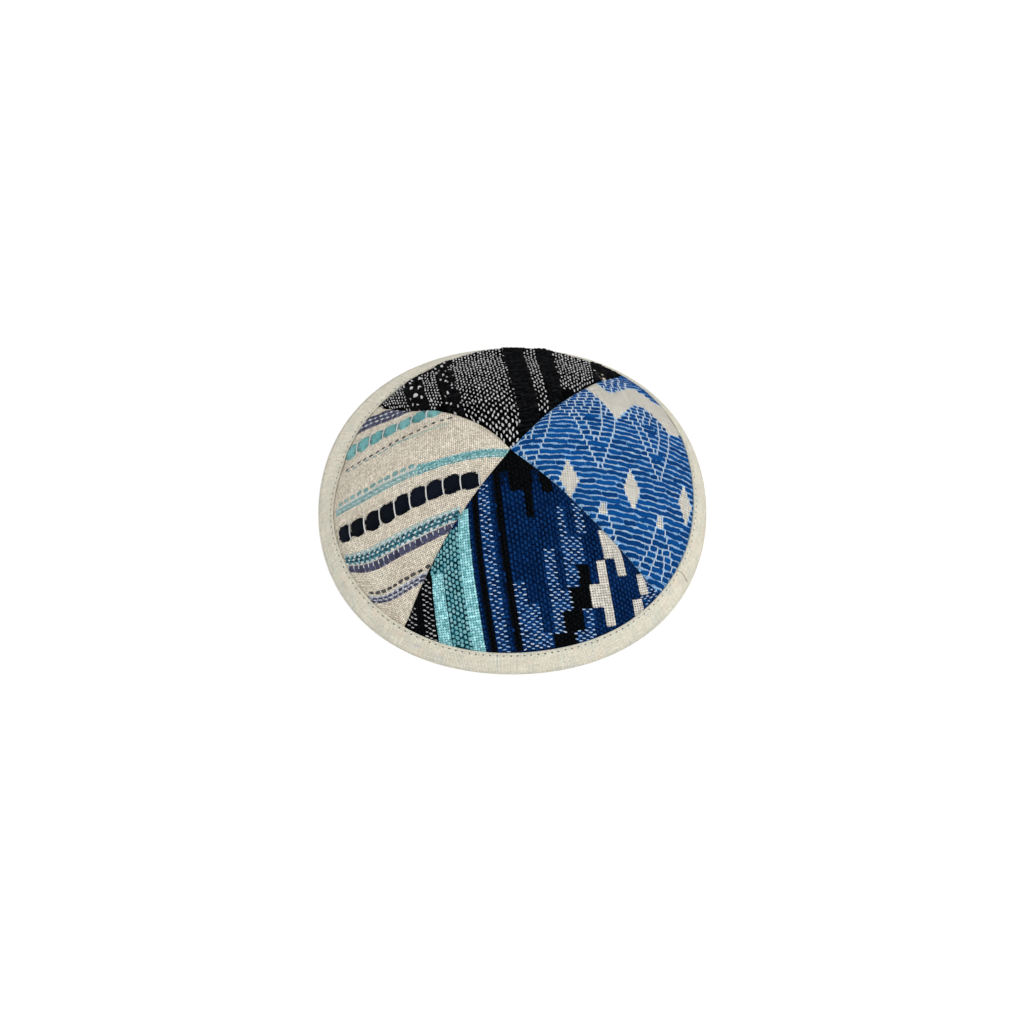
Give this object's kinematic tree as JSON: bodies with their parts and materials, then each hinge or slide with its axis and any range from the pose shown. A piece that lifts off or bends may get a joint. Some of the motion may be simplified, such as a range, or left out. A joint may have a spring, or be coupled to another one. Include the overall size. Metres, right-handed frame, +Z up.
{
  "type": "kippah skullcap",
  "caption": "Skullcap of curved woven panels sewn together up to the crown, hollow and open below, with its rim bound in folded cloth tape.",
  "frame": {"origin": "centre of the rim, on the plane the cap rests on", "axes": "+Z up through the crown, -Y the front as pictured, +X to the right of it"},
  "size_m": [0.19, 0.1856, 0.0529],
  "materials": {
    "linen_cloth": "natural plain weave with woven stripes",
    "black_cloth": "black weave with white flecks",
    "blue_cloth": "royal blue brocade weave",
    "navy_cloth": "navy weave with stepped stripes",
    "rim_tape": "cream cotton tape"
  },
  "bodies": {
    "root": {"panel_linen": "linen_cloth", "panel_black": "black_cloth", "panel_blue": "blue_cloth", "panel_navy": "navy_cloth", "rim_band": "rim_tape"}
  },
  "joints": []
}
